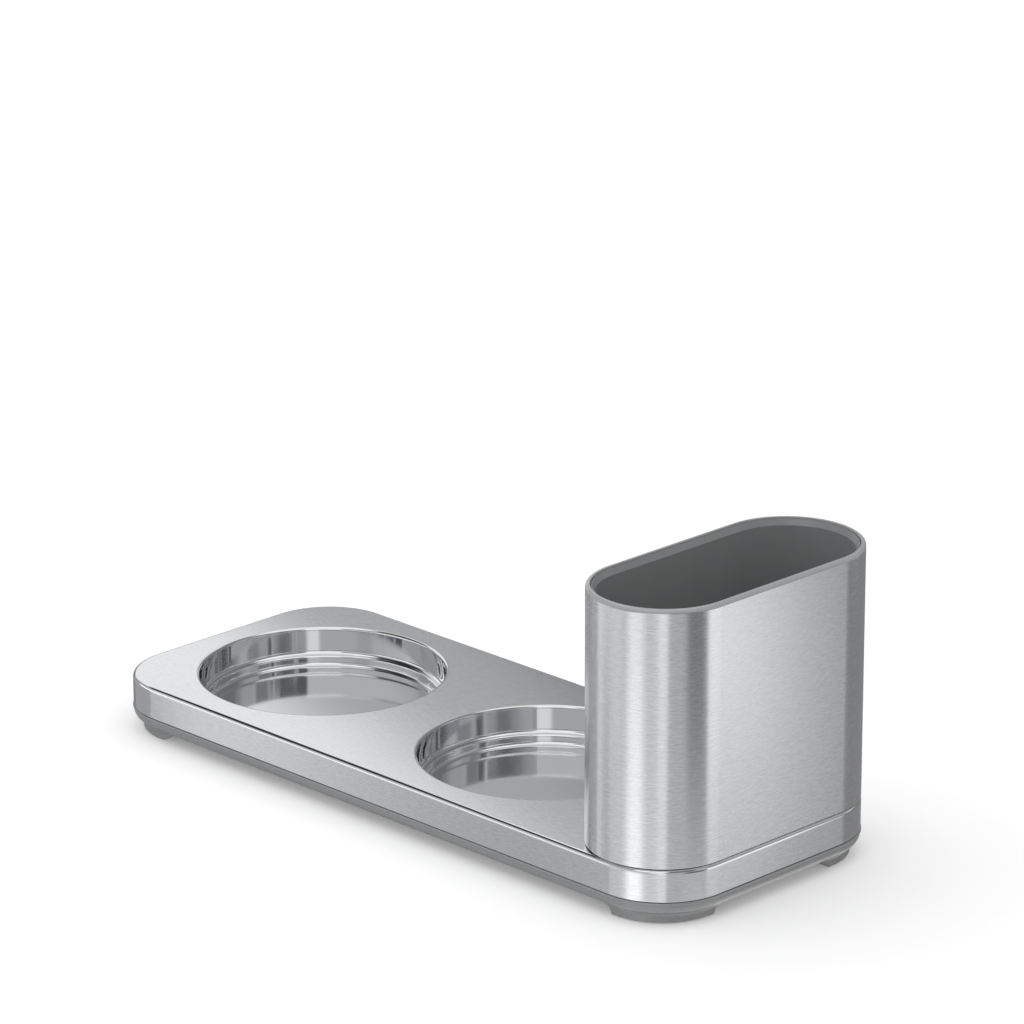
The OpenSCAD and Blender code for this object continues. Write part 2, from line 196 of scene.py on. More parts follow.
def new_material(name):
    """A material with a Principled shader, returned with its tree and shader."""
    material = bpy.data.materials.new(name)
    material.use_nodes = True
    tree = material.node_tree
    shader = tree.nodes["Principled BSDF"]
    return material, tree, shader


def object_noise(tree, scales, detail=2.0, roughness=0.5):
    """Noise on Object coordinates, with a frequency per metre along each axis."""
    coords = tree.nodes.new("ShaderNodeTexCoord")
    mapping = tree.nodes.new("ShaderNodeMapping")
    mapping.inputs["Scale"].default_value = scales
    noise = tree.nodes.new("ShaderNodeTexNoise")
    noise.inputs["Scale"].default_value = 1.0
    noise.inputs["Detail"].default_value = detail
    noise.inputs["Roughness"].default_value = roughness
    tree.links.new(coords.outputs["Object"], mapping.inputs["Vector"])
    tree.links.new(mapping.outputs["Vector"], noise.inputs["Vector"])
    return noise.outputs["Fac"]


def tilt_socket(tree):
    """1 on faces that lie flat, 0 on upright ones."""
    geometry = tree.nodes.new("ShaderNodeNewGeometry")
    parts = tree.nodes.new("ShaderNodeSeparateXYZ")
    tree.links.new(geometry.outputs["Normal"], parts.inputs[0])
    return maths(tree, "ABSOLUTE", parts.outputs["Z"])


# Materials

# Frequencies per metre: the brushed scratches across and along their run, and what the rest shows
scratch_across = 2600.0
scratch_along = 300.0
hairline_across = 5000.0
hairline_along = 700.0
clouds_per_m = 30.0
grain_per_m = 5200.0
flow_marks_per_m = 60.0
turning_per_m = (1500.0, 1500.0, 5000.0)


def scratches(tree, lie_flat):
    """Scratches that run level round upright faces, and along X on faces that lie flat."""
    fields = []
    for across, along in ((scratch_across, scratch_along), (hairline_across, hairline_along)):
        upright = object_noise(tree, (along, along, across), detail=3.0, roughness=0.6)
        flat = object_noise(tree, (along, across, along), detail=3.0, roughness=0.6)
        fields.append(blend(tree, lie_flat, upright, flat))
    return blend(tree, 0.5, fields[0], fields[1])


def set_scratch_direction(tree, shader, lie_flat, anisotropy):
    """Spreads the gloss across the scratches: along Z on upright faces, along Y on flat ones."""
    spread = tree.nodes.new("ShaderNodeCombineXYZ")
    tree.links.new(lie_flat, spread.inputs["Y"])
    tree.links.new(maths(tree, "SUBTRACT", 1.0, lie_flat), spread.inputs["Z"])
    tree.links.new(spread.outputs[0], shader.inputs["Tangent"])
    shader.inputs["Anisotropic"].default_value = anisotropy


def add_bump(tree, shader, height, strength, depth):
    """Bump from a height between 0 and 1."""
    bump = tree.nodes.new("ShaderNodeBump")
    bump.inputs["Strength"].default_value = strength
    bump.inputs["Distance"].default_value = depth
    tree.links.new(height, bump.inputs["Height"])
    tree.links.new(bump.outputs[0], shader.inputs["Normal"])


def brushed_steel(name, level, upright_roughness, flat_roughness, anisotropy, contrast):
    """Brushed stainless sheet, polished where its edge rolls over."""
    # tilts, from 0 on upright faces to 1 on flat ones
    flat_from = 0.9
    rolled_from, rolled_fully = 0.05, 0.2
    rolled_still, rolled_to = 0.97, 0.995
    cloud_contrast = 0.04
    roughness_spread = 0.1
    edge_roughness = 0.04
    material, tree, shader = new_material(name)
    tilt = tilt_socket(tree)
    lie_flat = maths(tree, "GREATER_THAN", tilt, flat_from)
    leaves_upright = remap(tree, tilt, rolled_from, rolled_fully)
    before_flat = remap(tree, tilt, rolled_still, rolled_to, 1.0, 0.0)
    rolled = maths(tree, "MULTIPLY", leaves_upright, before_flat)
    marks = scratches(tree, lie_flat)
    clouds = object_noise(tree, (clouds_per_m, clouds_per_m, clouds_per_m))

    bright = varied(tree, clouds, varied(tree, marks, level, contrast), cloud_contrast)
    bright = blend(tree, rolled, bright, level)
    tree.links.new(cool_grey_socket(tree, bright), shader.inputs["Base Color"])
    rough = blend(tree, lie_flat, upright_roughness, flat_roughness)
    rough = blend(tree, rolled, varied(tree, marks, rough, roughness_spread), edge_roughness)
    tree.links.new(rough, shader.inputs["Roughness"])
    set_scratch_direction(tree, shader, lie_flat, anisotropy)
    add_bump(tree, shader, marks, strength=0.12, depth=0.02 * mm)
    shader.inputs["Metallic"].default_value = 1.0
    return material


def polished_steel(name, level, wall_roughness, floor_roughness):
    """Drawn and polished cup: mirror walls, and a satin floor brushed along X."""
    flat_from = 0.99
    contrast = 0.06
    roughness_spread = 0.03
    material, tree, shader = new_material(name)
    lie_flat = maths(tree, "GREATER_THAN", tilt_socket(tree), flat_from)
    marks = scratches(tree, lie_flat)
    bright = varied(tree, marks, level, contrast)
    tree.links.new(cool_grey_socket(tree, bright), shader.inputs["Base Color"])
    rough = blend(tree, lie_flat, wall_roughness, floor_roughness)
    tree.links.new(varied(tree, marks, rough, roughness_spread), shader.inputs["Roughness"])
    set_scratch_direction(tree, shader, lie_flat, anisotropy=0.2)
    add_bump(tree, shader, marks, strength=0.02, depth=0.02 * mm)
    shader.inputs["Metallic"].default_value = 1.0
    return material


def moulded_plastic(name, level, roughness, grain=0.12, specular=0.5):
    """Matt moulding with a fine sparked grain and faint flow marks."""
    contrast = 0.07
    roughness_spread = 0.16
    material, tree, shader = new_material(name)
    fine = object_noise(tree, (grain_per_m, grain_per_m, grain_per_m))
    broad = object_noise(tree, (flow_marks_per_m, flow_marks_per_m, flow_marks_per_m), detail=3.0)
    mixed = blend(tree, 0.5, fine, broad)
    darker = cool_grey(level * (1 - contrast))
    lighter = cool_grey(level * (1 + contrast))
    tree.links.new(blend_colours(tree, mixed, darker, lighter), shader.inputs["Base Color"])
    tree.links.new(varied(tree, fine, roughness, roughness_spread), shader.inputs["Roughness"])
    add_bump(tree, shader, fine, strength=grain, depth=0.03 * mm)
    shader.inputs["Specular IOR Level"].default_value = specular
    return material


def plain_steel(name, level, roughness):
    """Turned or drawn fixings."""
    contrast = 0.1
    roughness_spread = 0.12
    material, tree, shader = new_material(name)
    marks = object_noise(tree, turning_per_m)
    bright = varied(tree, marks, level, contrast)
    tree.links.new(cool_grey_socket(tree, bright), shader.inputs["Base Color"])
    tree.links.new(varied(tree, marks, roughness, roughness_spread), shader.inputs["Roughness"])
    shader.inputs["Metallic"].default_value = 1.0
    return material


deck_steel = brushed_steel("deck_steel", level=0.72, upright_roughness=0.19, flat_roughness=0.12,
                           anisotropy=0.8, contrast=0.42)
sleeve_steel = brushed_steel("sleeve_steel", level=0.72, upright_roughness=0.25, flat_roughness=0.25,
                             anisotropy=0.85, contrast=0.5)
cup_steel = polished_steel("cup_steel", level=0.72, wall_roughness=0.04, floor_roughness=0.09)
tray_plastic = moulded_plastic("tray_plastic", level=0.285, roughness=0.28, specular=0.9)
rim_plastic = moulded_plastic("rim_plastic", level=0.4, roughness=0.24)
liner_plastic = moulded_plastic("liner_plastic", level=0.262, roughness=0.36)
pad_rubber = moulded_plastic("pad_rubber", level=0.035, roughness=0.75, grain=0.3)
foam = moulded_plastic("foam", level=0.03, roughness=0.9, grain=0.6)
fixing_steel = plain_steel("fixing_steel", level=0.56, roughness=0.3)

# Nodes that keep their own solid
node_materials = {
    "left_cup_seal": foam,
    "right_cup_seal": foam,
    "base_tray": tray_plastic,
    "deck_posts": fixing_steel,
    "tray_screws": fixing_steel,
    "holder_seal": foam,
    "holder_base": tray_plastic,
    "holder_screws": fixing_steel,
    "front_left_pad": pad_rubber,
    "front_right_pad": pad_rubber,
    "rear_left_pad": pad_rubber,
    "rear_right_pad": pad_rubber,
}
for node_name, material in node_materials.items():
    nodes[node_name].data.materials.clear()
    nodes[node_name].data.materials.append(material)


# Shells: a profile of points is carried round the corners of a rounded rectangle

def carry_round_tree():
    """Node tree that carries profile points round four corners and joins them by straight stretches."""
    tree = bpy.data.node_groups.new("carry_round", "GeometryNodeTree")
    face = tree.interface
    face.new_socket("Profile", in_out="INPUT", socket_type="NodeSocketGeometry")
    for name in ("Run X", "Run Y", "Centre X"):
        face.new_socket(name, in_out="INPUT", socket_type="NodeSocketFloat")
    face.new_socket("Corner Steps", in_out="INPUT", socket_type="NodeSocketInt")
    face.new_socket("Finish", in_out="INPUT", socket_type="NodeSocketMaterial")
    face.new_socket("Shell", in_out="OUTPUT", socket_type="NodeSocketGeometry")
    given = tree.nodes.new("NodeGroupInput").outputs
    result = tree.nodes.new("NodeGroupOutput").inputs

    # a grid with one column for each station round the shell, and one row for each profile point
    size = tree.nodes.new("GeometryNodeAttributeDomainSize")
    tree.links.new(given["Profile"], size.inputs["Geometry"])
    rows = size.outputs["Point Count"]
    stations = maths(tree, "ADD", given["Corner Steps"], 1.0)
    grid = tree.nodes.new("GeometryNodeMeshGrid")
    tree.links.new(maths(tree, "MULTIPLY_ADD", stations, 4.0, 1.0), grid.inputs["Vertices X"])
    tree.links.new(rows, grid.inputs["Vertices Y"])

    # half a step is added before each division, so that rounding can't change the whole part
    index = tree.nodes.new("GeometryNodeInputIndex").outputs[0]
    station = maths(tree, "FLOOR", maths(tree, "DIVIDE", maths(tree, "ADD", index, 0.5), rows))
    row = maths(tree, "SUBTRACT", index, maths(tree, "MULTIPLY", station, rows))
    station_mid = maths(tree, "ADD", station, 0.5)
    quarter = maths(tree, "FLOOR", maths(tree, "DIVIDE", station_mid, stations))
    step = maths(tree, "SUBTRACT", station, maths(tree, "MULTIPLY", quarter, stations))
    turns = maths(tree, "ADD", quarter, maths(tree, "DIVIDE", step, given["Corner Steps"]))
    angle = maths(tree, "MULTIPLY", turns, math.pi / 2)
    middle = maths(tree, "MULTIPLY", maths(tree, "ADD", quarter, 0.5), math.pi / 2)

    sample = tree.nodes.new("GeometryNodeSampleIndex")
    sample.data_type = "FLOAT_VECTOR"
    tree.links.new(given["Profile"], sample.inputs["Geometry"])
    tree.links.new(tree.nodes.new("GeometryNodeInputPosition").outputs[0], sample.inputs["Value"])
    tree.links.new(row, sample.inputs["Index"])
    point = tree.nodes.new("ShaderNodeSeparateXYZ")
    tree.links.new(sample.outputs[0], point.inputs[0])

    def place(turn_of, run):
        """One coordinate of a carried point: its corner's axis, then its reach turned by the angle."""
        axis = maths(tree, "MULTIPLY", maths(tree, "SIGN", maths(tree, turn_of, middle)), run)
        return maths(tree, "MULTIPLY_ADD", point.outputs["X"], maths(tree, turn_of, angle), axis)

    where = tree.nodes.new("ShaderNodeCombineXYZ")
    along_x = maths(tree, "ADD", place("COSINE", given["Run X"]), given["Centre X"])
    tree.links.new(along_x, where.inputs["X"])
    tree.links.new(place("SINE", given["Run Y"]), where.inputs["Y"])
    tree.links.new(point.outputs["Z"], where.inputs["Z"])
    moved = tree.nodes.new("GeometryNodeSetPosition")
    tree.links.new(grid.outputs["Mesh"], moved.inputs["Geometry"])
    tree.links.new(where.outputs[0], moved.inputs["Position"])
    welded = tree.nodes.new("GeometryNodeMergeByDistance")
    welded.inputs["Distance"].default_value = weld_gap
    tree.links.new(moved.outputs[0], welded.inputs["Geometry"])
    finish = tree.nodes.new("GeometryNodeSetMaterial")
    tree.links.new(welded.outputs[0], finish.inputs["Geometry"])
    tree.links.new(given["Finish"], finish.inputs["Material"])
    real = tree.nodes.new("GeometryNodeRealizeInstances")
    tree.links.new(finish.outputs[0], real.inputs[0])
    tree.links.new(real.outputs[0], result["Shell"])
    return tree


carry_round = carry_round_tree()


def plain_mesh_of(piece):
    """The evaluated mesh of a piece takes the place of its mesh and modifiers."""
    depsgraph = bpy.context.evaluated_depsgraph_get()
    mesh = bpy.data.meshes.new_from_object(piece.evaluated_get(depsgraph))
    old = piece.data
    piece.modifiers.clear()
    piece.data = mesh
    bpy.data.meshes.remove(old)
    mesh.name = piece.name


def carried_shell(name, profile, runs, centre_x, finish):
    """A shell whose section is the profile: pairs of outward reach from the corners' axes, and level."""
    mesh = bpy.data.meshes.new(name)
    mesh.from_pydata([(reach, 0.0, level) for reach, level in profile], [], [])
    piece = bpy.data.objects.new(name, mesh)
    bpy.context.scene.collection.objects.link(piece)
    modifier = piece.modifiers.new("carry_round", "NODES")
    modifier.node_group = carry_round
    values = {
        "Run X": runs[0],
        "Run Y": runs[1],
        "Centre X": centre_x,
        "Corner Steps": corner_steps,
        "Finish": finish,
    }
    for item in carry_round.interface.items_tree:
        if item.in_out == "INPUT" and item.name in values:
            modifier[item.identifier] = values[item.name]
    plain_mesh_of(piece)
    piece.data.materials.clear()
    piece.data.materials.append(finish)
    for face in piece.data.polygons:
        face.material_index = 0
    return piece


def smooth_piece(piece):
    """Smooth faces, sharp edges past a limit, and normals that follow the larger faces."""
    mesh = piece.data
    mesh.shade_smooth()
    mesh.set_sharp_from_angle(angle=sharp_angle)
    modifier = piece.modifiers.new("even_faces", "WEIGHTED_NORMAL")
    modifier.mode = "FACE_AREA"
    modifier.weight = 100
    modifier.keep_sharp = True
    plain_mesh_of(piece)


def arc(reach, level, radius, start, end, steps=arc_steps):
    """Points of an arc about (reach, level), from one angle to another in degrees."""
    points = []
    for i in range(steps + 1):
        angle = math.radians(start + (end - start) * i / steps)
        points.append((reach + radius * math.cos(angle), level + radius * math.sin(angle)))
    return points


def deck_profile():
    """Section of the deck's rolled edge and skirt, from its underside round to its face."""
    turn_r = corner_r - deck_edge_r
    turn_z = deck_z - deck_edge_r
    hem_z = band_z + hem_r
    points = arc(turn_r, turn_z, deck_edge_r - sheet_t, 90, 0)
    points += arc(corner_r - sheet_t + hem_r, hem_z, hem_r, 180, 270, steps=3)
    points += arc(corner_r - hem_r, hem_z, hem_r, 270, 360, steps=3)
    points += arc(turn_r, turn_z, deck_edge_r, 0, 90, steps=12)
    return points


def ring_edges(shell, level):
    """Open edges of a bmesh at one level."""
    def is_level(edge):
        return all(abs(v.co.z - level) < weld_gap for v in edge.verts)

    return [e for e in shell.edges if e.is_boundary and is_level(e)]


def circle_edges(shell, centre, radius, level, steps):
    """A ring of new vertices and its edges."""
    ring = []
    for i in range(steps):
        turn = 2 * math.pi * i / steps
        x = centre[0] + radius * math.cos(turn)
        y = centre[1] + radius * math.sin(turn)
        ring.append(shell.verts.new((x, y, level)))
    return ring, [shell.edges.new((ring[i - 1], ring[i])) for i in range(steps)]


def make_deck():
    """Deck and skirt, with both wells' openings and the four screw holes."""
    piece = carried_shell("deck", deck_profile(), (run_x, run_y), 0.0, deck_steel)
    shell = bmesh.new()
    shell.from_mesh(piece.data)
    holes = [((x, 0.0), well_r + seat_gap, well_hole_steps) for x in well_xs]
    for side_x in (-1, 1):
        for side_y in (-1, 1):
            centre = (hold_x + side_x * screw_reach.x, side_y * screw_reach.y)
            holes.append((centre, deck_screw_r, screw_hole_steps))
    top = ring_edges(shell, deck_z)
    under = ring_edges(shell, deck_z - sheet_t)
    for centre, radius, steps in holes:
        upper, upper_edges = circle_edges(shell, centre, radius, deck_z, steps)
        lower, lower_edges = circle_edges(shell, centre, radius, deck_z - sheet_t, steps)
        top += upper_edges
        under += lower_edges
        for i in range(steps):
            shell.faces.new((upper[i - 1], upper[i], lower[i], lower[i - 1]))
    for edges in (top, under):
        bmesh.ops.triangle_fill(shell, use_beauty=True, use_dissolve=False, edges=edges)
    bmesh.ops.recalc_face_normals(shell, faces=shell.faces)
    shell.to_mesh(piece.data)
    shell.free()
    smooth_piece(piece)
    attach(piece, "caddy")
    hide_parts("deck_cover")


def cup_profile():
    """Section of a drawn cup, from its underside out to the flange and back down inside."""
    step_z = floor_z + step_h
    wall_h = deck_z - lip_r - step_z - step_fillet_r
    lower_r = well_r - lip_r - step_w
    cup_r = well_r - lip_r - wall_h * math.tan(wall_draft)
    fillet_r = cup_r - step_fillet_r
    step_turn_r = lower_r + step_edge_r
    floor_turn_r = lower_r - floor_fillet_r
    flange_z = deck_z - flange_top
    points = [(0.0, cup_low.z)]
    points += arc(floor_turn_r, floor_z + floor_fillet_r, floor_fillet_r + cup_t, -90, 0)
    points += arc(step_turn_r, step_z - step_edge_r, step_edge_r - cup_t, 180, 90, steps=4)
    points += arc(fillet_r, step_z + step_fillet_r, step_fillet_r + cup_t, -90, 0)
    points += [(well_r - lip_r + cup_t, flange_z - cup_t), (well_r + flange_w, flange_z - cup_t)]
    points += [(well_r + flange_w, flange_z), (well_r, flange_z)]
    points += arc(well_r, deck_z - lip_r, lip_r, 90, 180, steps=10)
    points += arc(fillet_r, step_z + step_fillet_r, step_fillet_r, 0, -90, steps=10)
    points += arc(step_turn_r, step_z - step_edge_r, step_edge_r, 90, 180, steps=8)
    points += arc(floor_turn_r, floor_z + floor_fillet_r, floor_fillet_r, 0, -90, steps=10)
    points.append((0.0, floor_z))
    return points


def make_cups():
    """Both cups, each in the place of its solid."""
    for node_name, x in zip(well_names, well_xs):
        piece = carried_shell(node_name.replace("_well", ""), cup_profile(), (0.0, 0.0), x, cup_steel)
        smooth_piece(piece)
        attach(piece, "caddy")
        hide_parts(node_name)


def make_sleeve():
    """Brushed sleeve with its inturned foot."""
    foot_r = corner_r - sleeve_foot_w
    edge_turn_r = corner_r - sleeve_edge_r
    low, high = sleeve_low.z, sleeve_high.z
    points = [(foot_r, low)]
    points += arc(edge_turn_r, low + sleeve_edge_r, sleeve_edge_r, -90, 0, steps=4)
    points += arc(edge_turn_r, high - sleeve_edge_r, sleeve_edge_r, 0, 90, steps=4)
    points += [(corner_r - sheet_t, high), (corner_r - sheet_t, low + sheet_t), (foot_r, low + sheet_t)]
    points.append(points[0])
    piece = carried_shell("sleeve", points, (0.0, run_y), hold_x, sleeve_steel)
    smooth_piece(piece)
    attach(piece, "caddy")
    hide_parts("holder_sleeve")


def make_rim():
    """Moulded rim: a rounded cap on the sleeve's edge, a rebate for the liner and a skirt inside."""
    skirt_out_r = corner_r - sheet_t - seat_gap
    ledge_r = liner_r + lift_gap
    rebate_r = corner_r - rim_w
    cap_r = corner_r - rim_r
    inner_edge_turn_r = rebate_r + rim_inner_edge_r
    top = rim_high.z
    ledge_z = top - ledge_drop
    points = [(ledge_r, rim_low.z), (skirt_out_r, rim_low.z), (skirt_out_r, sleeve_high.z)]
    points += arc(cap_r, top - rim_r, rim_r, 0, 90, steps=9)
    points += arc(inner_edge_turn_r, top - rim_inner_edge_r, rim_inner_edge_r, 90, 180, steps=4)
    points += [(rebate_r, ledge_z), (ledge_r, ledge_z)]
    points.append(points[0])
    piece = carried_shell("rim", points, (0.0, run_y), hold_x, rim_plastic)
    smooth_piece(piece)
    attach(piece, "caddy")
    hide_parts("holder_rim")


def make_liner():
    """Lift-out liner: drafted wall, rounded foot, and a lip with a bevelled mouth."""
    low, high = liner_low.z, liner_high.z
    draft = math.atan(liner_draft / (high - lip_t - low))
    foot_r = liner_r - liner_draft
    axis_r = foot_r + liner_foot_r * math.tan(draft) - liner_foot_r / math.cos(draft)
    slope = math.degrees(draft)
    inner_foot_r = liner_foot_r - liner_t
    mouth_r = lip_out_r - lip_flat
    points = [(0.0, low)]
    points += arc(axis_r, low + liner_foot_r, liner_foot_r, -90, -slope, steps=12)
    points += [(liner_r, high - lip_t), (lip_out_r, high - lip_t)]
    points += arc(lip_out_r - lip_edge_r, high - lip_edge_r, lip_edge_r, 0, 90, steps=3)
    points += [(mouth_r, high), (liner_r - liner_t, high - mouth_h)]
    points += arc(axis_r, low + liner_foot_r, inner_foot_r, -slope, -90, steps=12)
    points.append((0.0, low + liner_t))
    piece = carried_shell("liner", points, (0.0, run_y), hold_x, liner_plastic)
    smooth_piece(piece)
    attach(piece, "liner")
    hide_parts("holder_liner")


make_deck()
make_cups()
make_sleeve()
make_rim()
make_liner()


# Studio

# The lit wall stands round the set. Bearings are in degrees from +X towards +Y, heights in millimetres.
wall_r = 0.35
wall_bottom = -0.6
wall_top = 1.1
wall_steps = 96

# Horizon of the wall, where its light changes from the lower to the upper one, and that light
horizon_low, horizon_high = -100.0, 10.0
wall_below, wall_above = 0.46, 0.8

# Stretches of the wall, each laid over those before it: softboxes and the gaps
# between them. Each has its bearing, half width, softness, and its light below and above the horizon.
wall_stretches = (
    (-151.0, 16.0, 26.0, 0.95, 0.95),
    (-165.0, 21.5, 4.0, 0.42, 0.45),
    (160.0, 20.0, 8.0, 0.25, 0.25),
    (-98.0, 15.0, 8.0, 0.68, 0.86),
    (-62.0, 27.0, 8.0, 0.8, 0.62),
    (-69.5, 10.5, 12.0, 1.38, 1.0),
    (-37.0, 5.0, 4.0, 0.88, 0.95),
    (-10.0, 22.0, 3.0, 0.55, 0.5),
    (-4.0, 10.0, 10.0, 0.7, 0.1),
    (19.5, 11.0, 4.0, 0.64, 1.25),
    (75.0, 42.0, 9.0, 0.4, 0.4),
    (80.0, 42.0, 4.0, 0.28, 0.25),
)

# Over the front, what the wells' walls and floors show: a lower and an upper row.
# Each stretch has its bearing, half width, softness and light.
front_bearing, front_half, front_softness = -50.0, 110.0, 20.0
front_low, front_high = 55.0, 75.0
rows_part_low, rows_part_high = 150.0, 160.0
lower_row_light = 0.64
lower_row = (
    (2.0, 34.0, 6.0, 0.53),
    (-10.0, 5.0, 6.0, 0.36),
    (-41.0, 7.0, 6.0, 1.15),
    (36.0, 8.0, 8.0, 0.35),
    (-98.0, 8.0, 8.0, 0.55),
)
upper_row_light = 0.75
upper_row = (
    (-15.0, 18.0, 5.0, 0.15),
    (9.0, 7.0, 5.0, 0.5),
    (26.0, 10.0, 8.0, 0.3),
    (50.0, 14.0, 8.0, 0.52),
)

# Behind on the left, what the deck and the wells' floors show: a softbox over a grey gap.
# Its edge slants by so many degrees of bearing for each millimetre of height.
softbox_slant = 0.17
behind_bearing, behind_half, behind_softness = 145.0, 35.0, 10.0
behind_low, behind_high = 60.0, 90.0
softbox_from, softbox_full = 163.5, 173.5
gap_from, gap_to = 150.0, 159.0
gap_dark, gap_light, softbox_light = 0.28, 0.48, 1.05

# Higher up a dark gap and the ceiling, and below the set's level the floor's white
gap_bottom, gap_top, gap_level = 260.0, 300.0, 0.3
ceiling_low, ceiling_high, ceiling_light = 520.0, 680.0, 1.3
floor_high, floor_low, floor_light = -200.0, -280.0, 1.1
floor_bearing, floor_half, floor_softness = 13.0, 113.0, 20.0

# Strips that mostly rolled edges and fillets show. Each has its bearing, half width, the heights of
# its lower and upper end, those ends' softness, and its light. Their sides have one softness.
strip_side_softness = 8.0
edge_strips = (
    (-137.0, 27.0, 62.0, 99.0, 8.0, 2.0),
    (-173.0, 27.0, 225.0, 580.0, 30.0, 0.05),
    (145.0, 13.0, 335.0, 480.0, 30.0, 1.7),
    (-52.0, 24.0, 290.0, 480.0, 30.0, 1.7),
)

# The floor's shade under the set's light and as the camera sees it, and the glow that takes it to white
floor_half_size = 3.0
floor_shade = (0.82, 0.82, 0.82, 1.0)
floor_seen_shade = (0.98, 0.98, 0.98, 1.0)
floor_glow = 0.17

# The world's light: the same all round, from overhead, from the front on the left, and low on the right
world_even = 0.35
world_overhead = 0.87
world_left = 0.42
world_right = 0.5
left_direction = (-0.49, -0.76, 0.43)


def place_camera():
    """The photograph's viewpoint, solved from the outlines of the base, the wells and the holder."""
    azimuth, pitch, roll = math.radians(45.178), math.radians(19.025), math.radians(-0.0757)
    focal_px = 5587.2
    frame_px = 1024.0
    eye = Vector((1232.94, -1213.29, 692.4)) * mm
    level_share = math.cos(pitch)
    ahead = Vector((-math.sin(azimuth) * level_share, math.cos(azimuth) * level_share, -math.sin(pitch)))
    right = Vector((math.cos(azimuth), math.sin(azimuth), 0.0))
    up = right.cross(ahead)
    turned_right = right * math.cos(roll) + up * math.sin(roll)
    turned_up = up * math.cos(roll) - right * math.sin(roll)
    data = bpy.data.cameras.new("camera")
    data.sensor_width = 36.0
    data.lens = focal_px / frame_px * data.sensor_width
    data.clip_start = 0.05
    data.clip_end = 20.0
    camera = bpy.data.objects.new("camera", data)
    rotation = Matrix((turned_right, turned_up, -ahead)).transposed()
    camera.matrix_world = Matrix.Translation(eye) @ rotation.to_4x4()
    bpy.context.scene.collection.objects.link(camera)
    bpy.context.scene.camera = camera


def make_floor():
    """Pale floor that keeps the contact shadow. Glossy surfaces see the lit wall's lower part instead."""
    half = floor_half_size
    corners = [(-half, -half, 0), (half, -half, 0), (half, half, 0), (-half, half, 0)]
    mesh = bpy.data.meshes.new("floor")
    mesh.from_pydata(corners, [], [(0, 1, 2, 3)])
    floor = bpy.data.objects.new("floor", mesh)
    bpy.context.scene.collection.objects.link(floor)
    material, tree, shader = new_material("floor_white")
    shader.inputs["Roughness"].default_value = 1.0
    shader.inputs["Specular IOR Level"].default_value = 0.0
    seen = tree.nodes.new("ShaderNodeLightPath").outputs["Is Camera Ray"]
    shade = blend_colours(tree, seen, floor_shade, floor_seen_shade)
    tree.links.new(shade, shader.inputs["Base Color"])
    shader.inputs["Emission Color"].default_value = white
    tree.links.new(maths(tree, "MULTIPLY", seen, floor_glow), shader.inputs["Emission Strength"])
    mesh.materials.append(material)
    floor.visible_glossy = False


def stretch(tree, bearing, centre, half, soft):
    """1 on the stretch of the wall within half a width of a bearing, 0 off it, with soft ends."""
    turned = maths(tree, "WRAP", maths(tree, "SUBTRACT", bearing, centre), 180.0, -180.0)
    off = maths(tree, "ABSOLUTE", turned)
    return remap(tree, off, half - soft / 2, half + soft / 2, 1.0, 0.0)


def row_light(tree, bearing, light, stretches):
    """Light of one row over the front, with each stretch laid over it."""
    for centre, half, soft, level in stretches:
        light = blend(tree, stretch(tree, bearing, centre, half, soft), light, level)
    return light


def wall_light(tree):
    """Brightness of the studio wall by bearing and height: softboxes and the gaps between them."""
    coords = tree.nodes.new("ShaderNodeTexCoord")
    parts = tree.nodes.new("ShaderNodeSeparateXYZ")
    tree.links.new(coords.outputs["Object"], parts.inputs[0])
    radians = maths(tree, "ARCTAN2", parts.outputs["Y"], parts.outputs["X"])
    bearing = maths(tree, "MULTIPLY", radians, 180 / math.pi)
    height = maths(tree, "DIVIDE", parts.outputs["Z"], mm)
    raised = remap(tree, height, horizon_low, horizon_high)

    light = blend(tree, raised, wall_below, wall_above)
    for centre, half, soft, below, above in wall_stretches:
        level = blend(tree, raised, below, above)
        light = blend(tree, stretch(tree, bearing, centre, half, soft), light, level)

    rows_part = remap(tree, height, rows_part_low, rows_part_high)
    over = blend(tree, rows_part, row_light(tree, bearing, lower_row_light, lower_row),
                 row_light(tree, bearing, upper_row_light, upper_row))
    front = maths(tree, "MULTIPLY", stretch(tree, bearing, front_bearing, front_half, front_softness),
                  remap(tree, height, front_low, front_high))
    light = blend(tree, front, light, over)

    slant = maths(tree, "MULTIPLY_ADD", height, softbox_slant, bearing)
    gap = remap(tree, slant, gap_from, gap_to, gap_dark, gap_light)
    softbox = remap(tree, slant, softbox_from, softbox_full, gap, softbox_light)
    behind = maths(tree, "MULTIPLY", stretch(tree, bearing, behind_bearing, behind_half, behind_softness),
                   remap(tree, height, behind_low, behind_high))
    light = blend(tree, behind, light, softbox)

    light = blend(tree, remap(tree, height, gap_bottom, gap_top), light, gap_level)
    light = blend(tree, remap(tree, height, ceiling_low, ceiling_high), light, ceiling_light)
    below = maths(tree, "MULTIPLY", remap(tree, height, floor_low, floor_high, 1.0, 0.0),
                  stretch(tree, bearing, floor_bearing, floor_half, floor_softness))
    light = blend(tree, below, light, floor_light)

    for centre, half, low, high, soft, level in edge_strips:
        above_low = remap(tree, height, low - soft / 2, low + soft / 2)
        below_high = remap(tree, height, high - soft / 2, high + soft / 2, 1.0, 0.0)
        between = maths(tree, "MULTIPLY", above_low, below_high)
        strip = maths(tree, "MULTIPLY", stretch(tree, bearing, centre, half, strip_side_softness), between)
        light = blend(tree, strip, light, level)
    return light


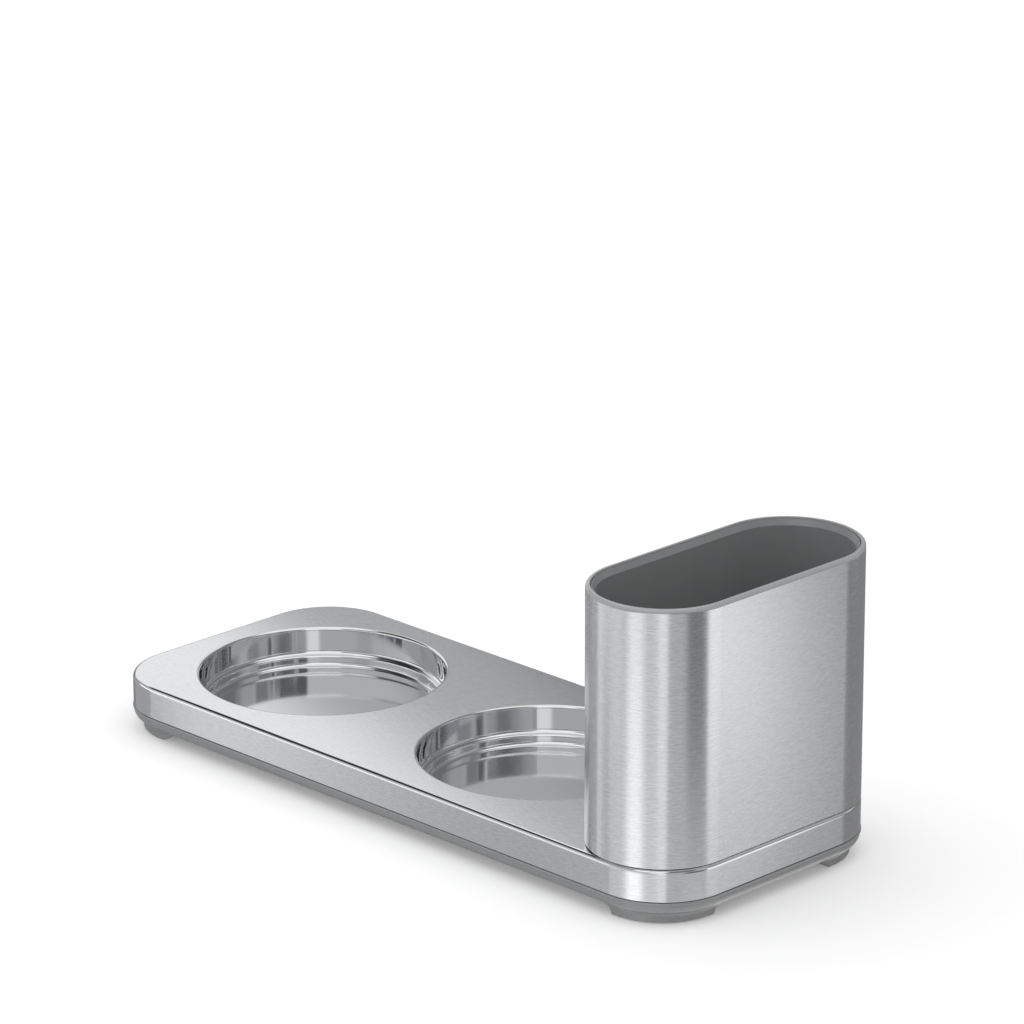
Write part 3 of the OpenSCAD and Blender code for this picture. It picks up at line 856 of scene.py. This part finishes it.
def make_studio_wall():
    """Lit wall round the set, which only glossy surfaces see."""
    rings = []
    for z in (wall_bottom, wall_top):
        for i in range(wall_steps):
            turn = 2 * math.pi * i / wall_steps
            rings.append((wall_r * math.cos(turn), wall_r * math.sin(turn), z))
    faces = []
    for i in range(wall_steps):
        j = (i + 1) % wall_steps
        faces.append((i, wall_steps + i, wall_steps + j, j))
    mesh = bpy.data.meshes.new("studio_wall")
    mesh.from_pydata(rings, [], faces)
    wall = bpy.data.objects.new("studio_wall", mesh)
    bpy.context.scene.collection.objects.link(wall)
    material = bpy.data.materials.new("studio_wall")
    material.use_nodes = True
    tree = material.node_tree
    tree.nodes.clear()
    emission = tree.nodes.new("ShaderNodeEmission")
    tree.links.new(wall_light(tree), emission.inputs["Strength"])
    output = tree.nodes.new("ShaderNodeOutputMaterial")
    tree.links.new(emission.outputs[0], output.inputs["Surface"])
    mesh.materials.append(material)
    wall.visible_camera = False
    wall.visible_diffuse = False
    wall.visible_shadow = False
    wall.visible_transmission = False
    wall.visible_volume_scatter = False


def make_world():
    """White for the camera, and for glossy surfaces past the wall. It lights the set from overhead,
    from the front on the left, and a little from low on the right."""
    world = bpy.data.worlds.new("studio")
    bpy.context.scene.world = world
    world.use_nodes = True
    tree = world.node_tree
    background = tree.nodes["Background"]
    background.inputs["Color"].default_value = white
    coords = tree.nodes.new("ShaderNodeTexCoord")
    parts = tree.nodes.new("ShaderNodeSeparateXYZ")
    tree.links.new(coords.outputs["Generated"], parts.inputs[0])
    towards = tree.nodes.new("ShaderNodeVectorMath")
    towards.operation = "DOT_PRODUCT"
    tree.links.new(coords.outputs["Generated"], towards.inputs[0])
    towards.inputs[1].default_value = left_direction

    def lobe(share):
        """Square of the share of a direction along an axis, on the axis's own side."""
        return maths(tree, "POWER", maths(tree, "MAXIMUM", share, 0.0), 2.0)

    overhead = lobe(parts.outputs["Z"])
    leftward = lobe(towards.outputs["Value"])
    levelness = maths(tree, "SUBTRACT", 1.0, maths(tree, "ABSOLUTE", parts.outputs["Z"]))
    low_right = maths(tree, "MULTIPLY", lobe(parts.outputs["X"]), maths(tree, "POWER", levelness, 2.0))
    light = maths(tree, "MULTIPLY_ADD", overhead, world_overhead, world_even)
    light = maths(tree, "MULTIPLY_ADD", leftward, world_left, light)
    light = maths(tree, "MULTIPLY_ADD", low_right, world_right, light)
    path = tree.nodes.new("ShaderNodeLightPath")
    seen = maths(tree, "MAXIMUM", path.outputs["Is Camera Ray"], path.outputs["Is Glossy Ray"])
    tree.links.new(blend(tree, seen, light, 1.0), background.inputs["Strength"])


place_camera()
make_floor()
make_studio_wall()
make_world()
bpy.context.scene.view_settings.view_transform = "Standard"
